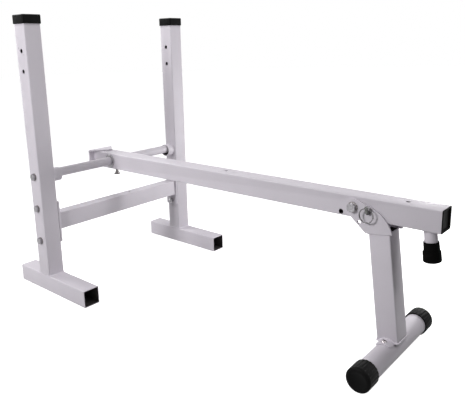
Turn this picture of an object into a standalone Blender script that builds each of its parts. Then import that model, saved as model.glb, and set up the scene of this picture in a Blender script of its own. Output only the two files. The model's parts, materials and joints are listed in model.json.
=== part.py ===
# Weight bench with rack: bare frame of a folding bench hung on a two-post bar rack.
# Units are metres, +Z is up, -Y is the front of the bench, X runs across the rack.
# The origin lies on the floor, under the middle of the whole object.
import math

import bmesh
import bpy
from mathutils import Matrix, Vector

# Clearances between pieces
seat_gap = 0.0003
hole_clearance = 0.0003
cut_overrun = 0.004

# Square steel tube that uprights, feet, beam and leg are cut from
tube_size = 0.050
tube_wall = 0.002
tube_corner_radius = 0.003
corner_steps = 2

# Rack
upright_spacing = 0.536
upright_top = 0.790
foot_front_reach = 0.193
foot_rear_reach = 0.129
hook_hole_upper_height = 0.6985
hook_hole_spacing = 0.055
hook_hole_diameter = 0.0105

# Square cap over the top of each upright
cap_skirt_depth = 0.020
cap_top_thickness = 0.004
cap_wall = 0.0027
cap_edge_radius = 0.0025

# Lower crossbar, its end plates and their bolts
crossbar_centre_height = 0.2055
crossbar_height = 0.050
crossbar_depth = 0.040
crossbar_drain_hole_diameter = 0.008
crossbar_drain_hole_offset = 0.044
crossbar_plate_thickness = 0.005
crossbar_plate_height = 0.125
crossbar_plate_corner_radius = 0.004
crossbar_bolt_spacing = 0.097

# Round bar between the uprights that the beam hinges on
bar_height = 0.348
bar_diameter = 0.0269
bar_wall = 0.002
bar_insert_length = 0.025
socket_diameter = 0.040
socket_bore = 0.0356
socket_length = 0.028

# Hexagon fasteners: across flats, head height, washer diameter, washer thickness, nut height
rack_bolt_diameter = 0.010
rack_bolt_flats = 0.017
rack_bolt_head = 0.0064
rack_washer_diameter = 0.021
rack_washer_thickness = 0.002
rack_nut_height = 0.008
bolt_tip_reach = 0.003
pivot_bolt_diameter = 0.012
pivot_bolt_flats = 0.019
pivot_bolt_head = 0.0075
pivot_washer_diameter = 0.024
pivot_washer_thickness = 0.0025
pivot_nut_height = 0.012

# Main beam
beam_front_reach = 1.055
beam_rear_reach = 0.080
rear_pad_hole_reach = 0.213
middle_pad_hole_reach = 0.458
front_pad_hole_inset = 0.086
pad_hole_diameter = 0.009
bush_flange_diameter = 0.041
bush_flange_thickness = 0.0035
bush_edge_bevel = 0.0009
bush_spigot_wall = 0.0028
bush_spigot_length = 0.012

# Bent plate over the rear end of the beam
bracket_thickness = 0.005
bracket_width = 0.090
bracket_flange_reach = 0.045
bracket_tip_width = 0.022
bracket_bend_radius = 0.006

# Plug in the front end of the beam
plug_flange_thickness = 0.0015
plug_recess_depth = 0.004
plug_rim_width = 0.0035
plug_insert_length = 0.018
plug_insert_wall = 0.0025
plug_edge_radius = 0.001

# Clamp screw under the bar, in a nut welded under the beam
clamp_stem_diameter = 0.008
clamp_tip_lead = 0.001
clamp_hub_diameter = 0.013
clamp_hub_height = 0.009
clamp_head_diameter = 0.020
clamp_head_thickness = 0.0032
clamp_head_drop = 0.019
clamp_tip_gap = 0.0004
clamp_nut_flats = 0.013
clamp_nut_height = 0.0065
clamp_grip_count = 8
clamp_grip_depth = 0.0006

# Bumper post and rubber tip under the front of the beam
bumper_inset = 0.032
bumper_tilt = math.radians(7.0)
bumper_post_diameter = 0.0275
bumper_post_length = 0.058
bumper_tip_height = 0.0436
bumper_tip_top_diameter = 0.0325
bumper_tip_step_drop = 0.021
bumper_tip_foot_diameter = 0.038
bumper_tip_floor = 0.012
bumper_tip_edge = 0.002

# Folding front leg and its pivot
leg_pivot_reach = 0.860
leg_tilt = math.radians(7.0)
leg_fold_angle = math.radians(95.0)
leg_offset = 0.0553
leg_top_drop = 0.049
plate_thickness = 0.004
plate_boss_radius = 0.020
plate_front_radius = 0.0805
plate_front_centre_offset = 0.008
plate_front_centre_drop = 0.072
plate_bottom_drop = 0.0575
plate_rear_offset = 0.0245
plate_boss_steps = 14
plate_front_steps = 12

# Holes for the lock pin: where it holds the leg out, and where it holds it folded
lock_hole_radius = 0.0388
lock_hole_angle = math.radians(-16.5)
fold_hole_radius = 0.0355
fold_hole_angle = math.radians(-68.8)

# Lock pin with its bent handle and pull ring
lock_pin_diameter = 0.008
lock_pin_draw = 0.0038
lock_pin_bend_radius = 0.006
lock_pin_bend_angle = math.radians(75.0)
lock_pin_arm_length = 0.012
ring_wire_diameter = 0.0032
ring_mean_radius = 0.0156
ring_hole_slack = 0.0009
ring_hole_from_tip = 0.0045

# Round front foot with its saddle
foot_tube_diameter = 0.050
foot_half_length = 0.170
foot_cap_length = 0.042
foot_cap_diameter = 0.057
foot_cap_end_thickness = 0.005
foot_cap_edge_radius = 0.005
foot_cap_flutes = 20
foot_cap_flute_depth = 0.0007
saddle_thickness = 0.003
saddle_half_angle = math.radians(62.0)
saddle_width = 0.100
saddle_steps = 16
saddle_screw_offset = 0.0375
saddle_screw_diameter = 0.0048
saddle_screw_head_diameter = 0.0095
saddle_screw_head_height = 0.0032
saddle_screw_length = 0.012
saddle_hole_depth = 0.012

# Proportions of hexagon fasteners and screw heads
hexagon_face_ratio = 0.95
head_chamfer_ratio = 0.18
tip_chamfer_ratio = 0.10
dome_edge_ratio = 0.30
dome_shoulder_ratio = 0.80
dome_top_ratio = 0.45

# Facets round each kind of piece
fastener_segments = 18
screw_segments = 12
bar_segments = 28
foot_tube_segments = 40
hole_segments = 16
small_hole_segments = 12
notch_segments = 56
pin_segments = 12
ring_segments = 28
wire_segments = 6
edge_round_steps = 3
flute_steps = 4
smooth_limit = math.radians(40.0)

# Finishes: colour, roughness, metallic
white_paint = ((0.66, 0.64, 0.67), 0.38, 0.0)
black_plastic = ((0.012, 0.012, 0.013), 0.45, 0.0)
black_rubber = ((0.010, 0.010, 0.010), 0.70, 0.0)
zinc_plate = ((0.62, 0.62, 0.60), 0.30, 1.0)
dark_steel = ((0.22, 0.22, 0.22), 0.35, 1.0)

# Values that follow from the sizes above
half_tube = tube_size / 2
upright_x = upright_spacing / 2
inner_face_x = upright_x - half_tube
outer_face_x = upright_x + half_tube
foot_axis_height = foot_cap_diameter / 2
leg_length = (bar_height - foot_axis_height + leg_offset * math.sin(leg_tilt)) / math.cos(leg_tilt)
bar_radius = bar_diameter / 2
socket_drop = socket_bore / 2 - bar_radius - seat_gap
rack_line_y = (beam_front_reach - foot_rear_reach) / 2
bush_bore = bar_diameter + 2 * hole_clearance
bush_spigot_diameter = bush_bore + 2 * bush_spigot_wall
plate_inner_x = half_tube + seat_gap
plate_outer_x = plate_inner_x + plate_thickness
saddle_inner_radius = foot_tube_diameter / 2 + seat_gap
saddle_outer_radius = saddle_inner_radius + saddle_thickness

quarter_turn = math.radians(90.0)
to_front = (quarter_turn, 0.0, 0.0)
to_right = (0.0, quarter_turn, 0.0)
to_left = (0.0, -quarter_turn, 0.0)
to_floor = (2 * quarter_turn, 0.0, 0.0)


def clear_scene():
    for obj in list(bpy.data.objects):
        bpy.data.objects.remove(obj, do_unlink=True)


def finish_material(name, finish):
    colour, roughness, metallic = finish
    material = bpy.data.materials.new(name + "_finish")
    material.use_nodes = True
    shader = material.node_tree.nodes["Principled BSDF"]
    shader.inputs["Base Color"].default_value = (*colour, 1.0)
    shader.inputs["Roughness"].default_value = roughness
    shader.inputs["Metallic"].default_value = metallic
    return material


def add_empty(name, parent=None, location=(0.0, 0.0, 0.0), rotation=(0.0, 0.0, 0.0)):
    empty = bpy.data.objects.new(name, None)
    bpy.context.scene.collection.objects.link(empty)
    empty.parent = parent
    empty.location = location
    empty.rotation_euler = rotation
    return empty


def add_piece(name, shape, finish, parent, location=(0.0, 0.0, 0.0), rotation=(0.0, 0.0, 0.0)):
    """Turn a finished bmesh into a named object with its own material."""
    bmesh.ops.recalc_face_normals(shape, faces=shape.faces[:])
    mesh = bpy.data.meshes.new(name)
    shape.to_mesh(mesh)
    shape.free()
    piece = bpy.data.objects.new(name, mesh)
    bpy.context.scene.collection.objects.link(piece)
    piece.parent = parent
    piece.location = location
    piece.rotation_euler = rotation
    if finish is not None:
        mesh.materials.append(finish_material(name, finish))
        mesh.shade_smooth()
        mesh.set_sharp_from_angle(angle=smooth_limit)
    return piece


def circle_loop(radius, height, segments, centre=(0.0, 0.0)):
    """Points round a circle at one height."""
    return [
        Vector((
            centre[0] + radius * math.cos(math.tau * step / segments),
            centre[1] + radius * math.sin(math.tau * step / segments),
            height,
        ))
        for step in range(segments)
    ]


def fluted_loop(radius, height, flutes, depth):
    """Points round a circle with shallow flutes, with a full-radius land on each side of every flute."""
    points = []
    steps = flutes * flute_steps
    for step in range(steps):
        angle = math.tau * (step - 0.5) / steps
        local_radius = radius - depth if step % flute_steps >= flute_steps / 2 else radius
        points.append(Vector((local_radius * math.cos(angle), local_radius * math.sin(angle), height)))
    return points


def hexagon_loop(across_flats, height, segments):
    """Points round a hexagon, at the same angles as those of a circle."""
    sixth = math.tau / 6
    points = []
    for step in range(segments):
        angle = math.tau * step / segments
        from_flat = angle % sixth - sixth / 2
        radius = across_flats / 2 / math.cos(from_flat)
        points.append(Vector((radius * math.cos(angle), radius * math.sin(angle), height)))
    return points


def rectangle_loop(width, depth, corner_radius, height, steps=corner_steps):
    """Points round a rectangle with rounded corners."""
    points = []
    for corner in range(4):
        start = quarter_turn * corner
        sign_x = 1 if corner in (0, 3) else -1
        sign_y = 1 if corner in (0, 1) else -1
        centre_x = sign_x * (width / 2 - corner_radius)
        centre_y = sign_y * (depth / 2 - corner_radius)
        for step in range(steps + 1):
            angle = start + quarter_turn * step / steps
            points.append(Vector((
                centre_x + corner_radius * math.cos(angle),
                centre_y + corner_radius * math.sin(angle),
                height,
            )))
    return points


def loft(loops, closed=False):
    """Skin between loops of equal count; the ends are filled unless the skin closes on itself."""
    shape = bmesh.new()
    rows = [[shape.verts.new(point) for point in loop] for loop in loops]
    pairs = list(zip(rows, rows[1:]))
    if closed:
        pairs.append((rows[-1], rows[0]))
    for lower, upper in pairs:
        count = len(lower)
        for index in range(count):
            following = (index + 1) % count
            shape.faces.new((lower[index], lower[following], upper[following], upper[index]))
    if not closed:
        shape.faces.new(rows[0])
        shape.faces.new(rows[-1])
    return shape


def extruded_outline(points, depth):
    """Solid of an outline in the YZ plane, extruded along +X."""
    shape = bmesh.new()
    face = shape.faces.new([shape.verts.new((0.0, point[0], point[1])) for point in points])
    grown = bmesh.ops.extrude_face_region(shape, geom=[face], use_keep_orig=True)
    moved = [item for item in grown["geom"] if isinstance(item, bmesh.types.BMVert)]
    bmesh.ops.translate(shape, verts=moved, vec=(depth, 0.0, 0.0))
    return shape


def square_tube(width, depth, length):
    """Hollow rectangular tube along +Z from the origin."""
    inner = (width - 2 * tube_wall, depth - 2 * tube_wall, tube_corner_radius - tube_wall)
    return loft([
        rectangle_loop(width, depth, tube_corner_radius, 0.0),
        rectangle_loop(width, depth, tube_corner_radius, length),
        rectangle_loop(*inner, length),
        rectangle_loop(*inner, 0.0),
    ], closed=True)


def round_tube(diameter, bore, length, segments):
    """Hollow round tube along +Z from the origin."""
    return loft([
        circle_loop(diameter / 2, 0.0, segments),
        circle_loop(diameter / 2, length, segments),
        circle_loop(bore / 2, length, segments),
        circle_loop(bore / 2, 0.0, segments),
    ], closed=True)


def hexagon_bolt(diameter, across_flats, head_height, length):
    """Bolt with its head above the origin and its shank down to -length."""
    chamfer = head_height * head_chamfer_ratio
    tip_chamfer = diameter * tip_chamfer_ratio
    segments = fastener_segments
    return loft([
        circle_loop(across_flats / 2 * hexagon_face_ratio, head_height, segments),
        hexagon_loop(across_flats, head_height - chamfer, segments),
        hexagon_loop(across_flats, 0.0, segments),
        circle_loop(diameter / 2, 0.0, segments),
        circle_loop(diameter / 2, tip_chamfer - length, segments),
        circle_loop(diameter / 2 - tip_chamfer, -length, segments),
    ])


def hexagon_nut(diameter, across_flats, height):
    """Nut standing on the origin, with chamfered corners on its outer face."""
    chamfer = height * head_chamfer_ratio
    bore = diameter / 2 + hole_clearance
    segments = fastener_segments
    return loft([
        hexagon_loop(across_flats, 0.0, segments),
        hexagon_loop(across_flats, height - chamfer, segments),
        circle_loop(across_flats / 2 * hexagon_face_ratio, height, segments),
        circle_loop(bore, height, segments),
        circle_loop(bore, 0.0, segments),
    ], closed=True)


def washer(bolt_diameter, diameter, thickness):
    return round_tube(diameter, bolt_diameter + 2 * hole_clearance, thickness, fastener_segments)


def add_cutter(target, shape, suffix):
    """Hide a cutter shape, in the target's own space, and subtract it from the target."""
    cutter = add_piece(target.name + suffix, shape, None, target)
    cutter.hide_render = True
    cutter.display_type = "WIRE"
    cut = target.modifiers.new(suffix.strip("_"), "BOOLEAN")
    cut.operation = "DIFFERENCE"
    cut.solver = "EXACT"
    cut.object = cutter
    return cutter


def drill(target, holes, suffix="_drills", segments=hole_segments):
    """Cut round holes through a piece; each hole is its centre, its axis, its diameter and its length."""
    shape = bmesh.new()
    for centre, axis, diameter, length in holes:
        turn = Vector((0.0, 0.0, 1.0)).rotation_difference(Vector(axis)).to_matrix().to_4x4()
        bmesh.ops.create_cone(
            shape,
            cap_ends=True,
            segments=segments,
            radius1=diameter / 2,
            radius2=diameter / 2,
            depth=length,
            matrix=Matrix.Translation(centre) @ turn,
        )
    add_cutter(target, shape, suffix)


def make_rack(rack_line):
    """Uprights, feet, caps, crossbar and hinge bar: everything that stands still."""
    for side, sign in (("left", -1), ("right", 1)):
        make_rack_foot(rack_line, side, sign)
        make_upright(rack_line, side, sign)
        make_top_cap(rack_line, side, sign)
        make_crossbar_plate(rack_line, side, sign)
        make_crossbar_bolts(rack_line, side, sign)
        make_bar_end(rack_line, side, sign)
    make_crossbar(rack_line)
    make_pivot_bar(rack_line)


def make_rack_foot(rack_line, side, sign):
    length = foot_front_reach + foot_rear_reach
    shape = square_tube(tube_size, tube_size, length)
    add_piece(
        side + "_foot", shape, white_paint, rack_line,
        (sign * upright_x, foot_rear_reach, half_tube), to_front,
    )


def make_upright(rack_line, side, sign):
    bottom = tube_size + seat_gap
    length = upright_top - bottom
    shape = square_tube(tube_size, tube_size, length)
    upright = add_piece(
        side + "_upright", shape, white_paint, rack_line, (sign * upright_x, 0.0, bottom),
    )
    across = (1.0, 0.0, 0.0)
    span = tube_size + 2 * cut_overrun
    bolt_hole = rack_bolt_diameter + 2 * hole_clearance
    heights = [
        (hook_hole_upper_height, hook_hole_diameter),
        (hook_hole_upper_height - hook_hole_spacing, hook_hole_diameter),
        (bar_height, bolt_hole),
    ]
    for bolt_height in crossbar_bolt_heights():
        heights.append((bolt_height, bolt_hole))
    drill(upright, [((0.0, 0.0, height - bottom), across, size, span) for height, size in heights])


def make_top_cap(rack_line, side, sign):
    inner_width = tube_size + 2 * seat_gap
    inner_radius = tube_corner_radius + seat_gap
    outer_width = inner_width + 2 * cap_wall
    outer_radius = inner_radius + cap_wall
    ceiling = upright_top + seat_gap
    bottom = ceiling - cap_skirt_depth
    top = ceiling + cap_top_thickness
    loops = [
        rectangle_loop(inner_width, inner_width, inner_radius, ceiling),
        rectangle_loop(inner_width, inner_width, inner_radius, bottom),
        rectangle_loop(outer_width, outer_width, outer_radius, bottom),
    ]
    for step in range(edge_round_steps + 1):
        angle = quarter_turn * step / edge_round_steps
        inset = cap_edge_radius * (1 - math.cos(angle))
        height = top - cap_edge_radius * (1 - math.sin(angle))
        width = outer_width - 2 * inset
        loops.append(rectangle_loop(width, width, outer_radius - inset, height))
    add_piece(
        side + "_top_cap", loft(loops), black_plastic, rack_line, (sign * upright_x, 0.0, 0.0),
    )


def crossbar_bolt_heights():
    half = crossbar_bolt_spacing / 2
    return (crossbar_centre_height - half, crossbar_centre_height + half)


def make_crossbar_plate(rack_line, side, sign):
    """Flat plate welded to the crossbar's end and bolted to the upright's inner face."""
    outline = [
        (point.x, point.y)
        for point in rectangle_loop(tube_size, crossbar_plate_height, crossbar_plate_corner_radius, 0.0)
    ]
    shape = extruded_outline(outline, crossbar_plate_thickness)
    near_x = inner_face_x - seat_gap - crossbar_plate_thickness
    start_x = near_x if sign > 0 else -near_x - crossbar_plate_thickness
    plate = add_piece(
        side + "_crossbar_plate", shape, white_paint, rack_line, (start_x, 0.0, crossbar_centre_height),
    )
    span = crossbar_plate_thickness + 2 * cut_overrun
    size = rack_bolt_diameter + 2 * hole_clearance
    holes = [
        ((crossbar_plate_thickness / 2, 0.0, height - crossbar_centre_height), (1.0, 0.0, 0.0), size, span)
        for height in crossbar_bolt_heights()
    ]
    drill(plate, holes)


def make_crossbar_bolts(rack_line, side, sign):
    """Two bolts through upright and plate, with washers outside and nuts inside."""
    outward = to_right if sign > 0 else to_left
    inward = to_left if sign > 0 else to_right
    washer_x = outer_face_x + seat_gap
    head_x = washer_x + rack_washer_thickness + seat_gap
    nut_x = inner_face_x - 2 * seat_gap - crossbar_plate_thickness
    length = head_x - nut_x + rack_nut_height + bolt_tip_reach
    for level, height in zip(("lower", "upper"), crossbar_bolt_heights()):
        name = side + "_" + level + "_crossbar"
        bolt = hexagon_bolt(rack_bolt_diameter, rack_bolt_flats, rack_bolt_head, length)
        add_piece(name + "_bolt", bolt, zinc_plate, rack_line, (sign * head_x, 0.0, height), outward)
        ring = washer(rack_bolt_diameter, rack_washer_diameter, rack_washer_thickness)
        add_piece(name + "_washer", ring, zinc_plate, rack_line, (sign * washer_x, 0.0, height), outward)
        nut = hexagon_nut(rack_bolt_diameter, rack_bolt_flats, rack_nut_height)
        add_piece(name + "_nut", nut, zinc_plate, rack_line, (sign * nut_x, 0.0, height), inward)


def make_crossbar(rack_line):
    half_length = inner_face_x - crossbar_plate_thickness - 2 * seat_gap
    shape = square_tube(crossbar_height, crossbar_depth, 2 * half_length)
    crossbar = add_piece(
        "lower_crossbar", shape, white_paint, rack_line,
        (-half_length, 0.0, crossbar_centre_height), to_right,
    )
    hole_centre = (-crossbar_height / 2, 0.0, half_length + crossbar_drain_hole_offset)
    drill(crossbar, [(hole_centre, (1.0, 0.0, 0.0), crossbar_drain_hole_diameter, 2 * cut_overrun)])


def make_pivot_bar(rack_line):
    half_length = inner_face_x - seat_gap
    bore = bar_diameter - 2 * bar_wall
    shape = round_tube(bar_diameter, bore, 2 * half_length, bar_segments)
    add_piece("pivot_bar", shape, white_paint, rack_line, (-half_length, 0.0, bar_height), to_right)


def make_bar_end(rack_line, side, sign):
    """Socket, threaded insert, washer and bolt at one end of the hinge bar."""
    outward = to_right if sign > 0 else to_left
    inward = to_left if sign > 0 else to_right
    bar_end = sign * (inner_face_x - seat_gap)
    socket = round_tube(socket_diameter, socket_bore, socket_length, bar_segments)
    add_piece(
        side + "_bar_socket", socket, white_paint, rack_line,
        (bar_end, 0.0, bar_height - socket_drop), inward,
    )
    insert_diameter = bar_diameter - 2 * bar_wall - 2 * seat_gap
    insert = round_tube(
        insert_diameter, rack_bolt_diameter + 2 * hole_clearance, bar_insert_length, fastener_segments,
    )
    add_piece(side + "_bar_insert", insert, zinc_plate, rack_line, (bar_end, 0.0, bar_height), inward)
    washer_x = outer_face_x + seat_gap
    head_x = washer_x + rack_washer_thickness + seat_gap
    length = head_x - inner_face_x + bar_insert_length
    ring = washer(rack_bolt_diameter, rack_washer_diameter, rack_washer_thickness)
    add_piece(
        side + "_bar_washer", ring, zinc_plate, rack_line, (sign * washer_x, 0.0, bar_height), outward,
    )
    bolt = hexagon_bolt(rack_bolt_diameter, rack_bolt_flats, rack_bolt_head, length)
    add_piece(
        side + "_bar_bolt", bolt, zinc_plate, rack_line, (sign * head_x, 0.0, bar_height), outward,
    )


def arc_point(radius, angle):
    """Two coordinates of a point at a radius and an angle; about the leg pivot, front offset and rise."""
    return radius * math.cos(angle), radius * math.sin(angle)


def make_beam(beam_hinge):
    """Main beam and all that is fixed to it; its origin is the axis of the hinge bar."""
    tube_length = beam_front_reach - plug_flange_thickness - seat_gap + beam_rear_reach
    shape = square_tube(tube_size, tube_size, tube_length)
    beam = add_piece(
        "main_beam", shape, white_paint, beam_hinge, (0.0, beam_rear_reach, 0.0), to_front,
    )
    drill(beam, beam_holes())
    bush_hole = bush_spigot_diameter + 2 * hole_clearance
    span = tube_size + 2 * cut_overrun
    drill(
        beam, [((0.0, 0.0, beam_rear_reach), (1.0, 0.0, 0.0), bush_hole, span)], "_bush_hole",
        segments=bar_segments,
    )
    make_rear_bracket(beam_hinge)
    make_beam_bushes(beam_hinge)
    make_front_plug(beam_hinge)
    make_bumper(beam_hinge)
    make_leg_pivot(beam_hinge)
    nut = hexagon_nut(clamp_stem_diameter, clamp_nut_flats, clamp_nut_height)
    add_piece("clamp_nut", nut, zinc_plate, beam_hinge, (0.0, 0.0, -half_tube - seat_gap), to_floor)


def beam_holes():
    """Holes of the beam in its own space, where +Z runs to the front and +Y is up."""
    across = (1.0, 0.0, 0.0)
    upward = (0.0, 1.0, 0.0)
    span = tube_size + 2 * cut_overrun
    pin_hole = lock_pin_diameter + 2 * hole_clearance
    holes = []
    for reach in (rear_pad_hole_reach, middle_pad_hole_reach, beam_front_reach - front_pad_hole_inset):
        holes.append(((0.0, 0.0, beam_rear_reach + reach), upward, pad_hole_diameter, span))
    stem_hole = clamp_stem_diameter + 2 * hole_clearance
    holes.append(((0.0, -half_tube, beam_rear_reach), upward, stem_hole, 2 * cut_overrun))
    pivot_z = beam_rear_reach + leg_pivot_reach
    holes.append(((0.0, 0.0, pivot_z), across, pivot_bolt_diameter + 2 * hole_clearance, span))
    folded_angle = fold_hole_angle - leg_fold_angle
    for radius, angle in ((lock_hole_radius, lock_hole_angle), (fold_hole_radius, folded_angle)):
        forward, rise = arc_point(radius, angle + leg_tilt)
        holes.append(((0.0, rise, pivot_z + forward), across, pin_hole, span))
    return holes


def make_rear_bracket(beam_hinge):
    """Bent plate: a web across the beam's rear end and a flange that tapers along the beam's top."""
    web_y = beam_rear_reach + seat_gap
    top = half_tube + seat_gap
    profile = [(web_y, -half_tube), (web_y, top), (web_y - bracket_flange_reach, top)]
    profile.append((web_y - bracket_flange_reach, top + bracket_thickness))
    outer_y = web_y + bracket_thickness
    for step in range(corner_steps + 2):
        angle = quarter_turn * (1 - step / (corner_steps + 1))
        profile.append((
            outer_y - bracket_bend_radius * (1 - math.cos(angle)),
            top + bracket_thickness - bracket_bend_radius * (1 - math.sin(angle)),
        ))
    profile.append((outer_y, -half_tube))
    shape = extruded_outline(profile, bracket_width)
    for vert in shape.verts:
        if vert.co.y < web_y - bracket_flange_reach / 2:
            vert.co.x = (bracket_width + math.copysign(bracket_tip_width, vert.co.x - bracket_width / 2)) / 2
    add_piece("rear_bracket", shape, white_paint, beam_hinge, (-bracket_width / 2, 0.0, 0.0))


def make_beam_bushes(beam_hinge):
    """Flanged metal bushes that carry the beam on the hinge bar."""
    for side, sign in (("left", -1), ("right", 1)):
        bore = bush_bore / 2
        spigot = bush_spigot_diameter / 2
        flange = bush_flange_diameter / 2
        outer_face = seat_gap + bush_flange_thickness
        loops = [
            circle_loop(bore, -bush_spigot_length, bar_segments),
            circle_loop(spigot, -bush_spigot_length, bar_segments),
            circle_loop(spigot, seat_gap, bar_segments),
            circle_loop(flange, seat_gap, bar_segments),
            circle_loop(flange, outer_face - bush_edge_bevel, bar_segments),
            circle_loop(flange - bush_edge_bevel, outer_face, bar_segments),
            circle_loop(bore, outer_face, bar_segments),
        ]
        outward = to_right if sign > 0 else to_left
        add_piece(
            side + "_beam_bush", loft(loops, closed=True), zinc_plate, beam_hinge,
            (sign * half_tube, 0.0, 0.0), outward,
        )


def make_front_plug(beam_hinge):
    """Plastic plug: a recessed face plate outside and a hollow insert inside the beam."""
    insert_width = tube_size - 2 * tube_wall - 2 * seat_gap
    insert_radius = tube_corner_radius - tube_wall
    hollow_width = insert_width - 2 * plug_insert_wall
    recess_width = tube_size - 2 * plug_rim_width
    face = plug_flange_thickness
    rim_width = tube_size - 2 * plug_edge_radius
    back = -plug_insert_length
    hollow_end = face - plug_recess_depth - plug_insert_wall
    loops = [
        rectangle_loop(recess_width, recess_width, insert_radius, face - plug_recess_depth),
        rectangle_loop(recess_width, recess_width, insert_radius, face),
        rectangle_loop(rim_width, rim_width, tube_corner_radius - plug_edge_radius, face),
        rectangle_loop(tube_size, tube_size, tube_corner_radius, face - plug_edge_radius),
        rectangle_loop(tube_size, tube_size, tube_corner_radius, 0.0),
        rectangle_loop(insert_width, insert_width, insert_radius, 0.0),
        rectangle_loop(insert_width, insert_width, insert_radius, back),
        rectangle_loop(hollow_width, hollow_width, insert_radius, back),
        rectangle_loop(hollow_width, hollow_width, insert_radius, hollow_end),
    ]
    front = -(beam_front_reach - plug_flange_thickness)
    add_piece("beam_front_plug", loft(loops), black_plastic, beam_hinge, (0.0, front, 0.0), to_front)


def make_bumper(beam_hinge):
    """Leaning post cut flat where it is welded under the beam, in a stepped rubber tip."""
    top = -half_tube - seat_gap
    centre_y = bumper_inset - beam_front_reach
    bumper = add_empty("bumper_axis", beam_hinge, (0.0, centre_y, top), (-bumper_tilt, 0.0, 0.0))
    post_radius = bumper_post_diameter / 2
    slanted_top = circle_loop(post_radius, 0.0, bar_segments)
    for point in slanted_top:
        point.z = point.y * math.tan(bumper_tilt)
    post = loft([slanted_top, circle_loop(post_radius, -bumper_post_length, bar_segments)])
    add_piece("bumper_post", post, white_paint, bumper)
    pocket = post_radius + seat_gap
    pocket_floor = -bumper_post_length - seat_gap
    bottom = pocket_floor - bumper_tip_floor
    rim = bottom + bumper_tip_height
    step_height = rim - bumper_tip_step_drop
    neck = bumper_tip_top_diameter / 2
    foot = bumper_tip_foot_diameter / 2
    edge = bumper_tip_edge
    tip = loft([
        circle_loop(pocket, pocket_floor, bar_segments),
        circle_loop(pocket, rim, bar_segments),
        circle_loop(neck - edge / 2, rim, bar_segments),
        circle_loop(neck, rim - edge / 2, bar_segments),
        circle_loop(neck + edge / 2, step_height + edge, bar_segments),
        circle_loop((neck + foot) / 2 + edge / 2, step_height, bar_segments),
        circle_loop(foot, bottom + edge, bar_segments),
        circle_loop(foot - edge, bottom, bar_segments),
    ])
    add_piece("bumper_tip", tip, black_rubber, bumper)


def make_leg_pivot(beam_hinge):
    """Bolt, washers, lock nut and crush sleeve that the leg swings on."""
    centre_y = -leg_pivot_reach
    washer_x = plate_outer_x + seat_gap
    head_x = washer_x + pivot_washer_thickness + seat_gap
    sleeve_length = tube_size - 2 * tube_wall - 2 * seat_gap
    sleeve_bore = pivot_bolt_diameter + 2 * hole_clearance
    sleeve = round_tube(sleeve_bore + 2 * tube_wall, sleeve_bore, sleeve_length, fastener_segments)
    add_piece(
        "leg_pivot_sleeve", sleeve, zinc_plate, beam_hinge, (-sleeve_length / 2, centre_y, 0.0), to_right,
    )
    for name, sign in (("left_pivot_washer", -1), ("right_pivot_washer", 1)):
        ring = washer(pivot_bolt_diameter, pivot_washer_diameter, pivot_washer_thickness)
        outward = to_right if sign > 0 else to_left
        add_piece(name, ring, zinc_plate, beam_hinge, (sign * washer_x, centre_y, 0.0), outward)
    length = 2 * head_x + pivot_nut_height + bolt_tip_reach
    bolt = hexagon_bolt(pivot_bolt_diameter, pivot_bolt_flats, pivot_bolt_head, length)
    add_piece("leg_pivot_bolt", bolt, zinc_plate, beam_hinge, (-head_x, centre_y, 0.0), to_left)
    nut = hexagon_nut(pivot_bolt_diameter, pivot_bolt_flats, pivot_nut_height)
    add_piece("leg_pivot_nut", nut, zinc_plate, beam_hinge, (head_x, centre_y, 0.0), to_right)


def make_clamp_screw(screw_axis):
    """Clamp screw under the bar, in its own frame on the hinge bar's axis."""
    tip = -bar_radius - clamp_tip_gap
    head_top = -half_tube - clamp_head_drop
    head_bottom = head_top - clamp_head_thickness
    stem = clamp_stem_diameter / 2
    head = clamp_head_diameter / 2
    hub_top = head_top + clamp_hub_height
    count = clamp_grip_count * flute_steps
    screw = loft([
        fluted_loop(head - 2 * clamp_grip_depth, head_bottom, clamp_grip_count, 0.0),
        fluted_loop(head, head_bottom + clamp_grip_depth, clamp_grip_count, clamp_grip_depth),
        fluted_loop(head, head_top - clamp_grip_depth, clamp_grip_count, clamp_grip_depth),
        fluted_loop(head - 2 * clamp_grip_depth, head_top, clamp_grip_count, 0.0),
        circle_loop(clamp_hub_diameter / 2, head_top, count),
        circle_loop(stem, hub_top, count),
        circle_loop(stem, tip - clamp_tip_lead, count),
        circle_loop(stem - clamp_tip_lead, tip, count),
    ])
    add_piece("clamp_screw", screw, zinc_plate, screw_axis)


def plate_outline():
    """Side plate of the leg: round boss and round front joined by a tangent, and a straight rear edge."""
    front_centre = Vector((plate_front_centre_offset, -plate_front_centre_drop))
    apart = front_centre.length
    toward_boss = math.atan2(-front_centre.y, -front_centre.x)
    tangent = toward_boss - math.acos((plate_front_radius - plate_boss_radius) / apart)
    rear_corner = Vector((plate_rear_offset, -plate_bottom_drop))
    corner_angle = math.atan2(rear_corner.y, rear_corner.x)
    rear_tangent = corner_angle - math.acos(plate_boss_radius / rear_corner.length) + math.tau
    points = []
    for step in range(plate_boss_steps + 1):
        angle = rear_tangent + (tangent - rear_tangent) * step / plate_boss_steps
        points.append(Vector((math.cos(angle), math.sin(angle))) * plate_boss_radius)
    bottom_angle = math.asin((plate_front_centre_drop - plate_bottom_drop) / plate_front_radius)
    for step in range(plate_front_steps + 1):
        angle = tangent + (bottom_angle - tangent) * step / plate_front_steps
        points.append(front_centre + Vector((math.cos(angle), math.sin(angle))) * plate_front_radius)
    points.append(rear_corner)
    return [(-point.x, point.y) for point in points]


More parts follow.
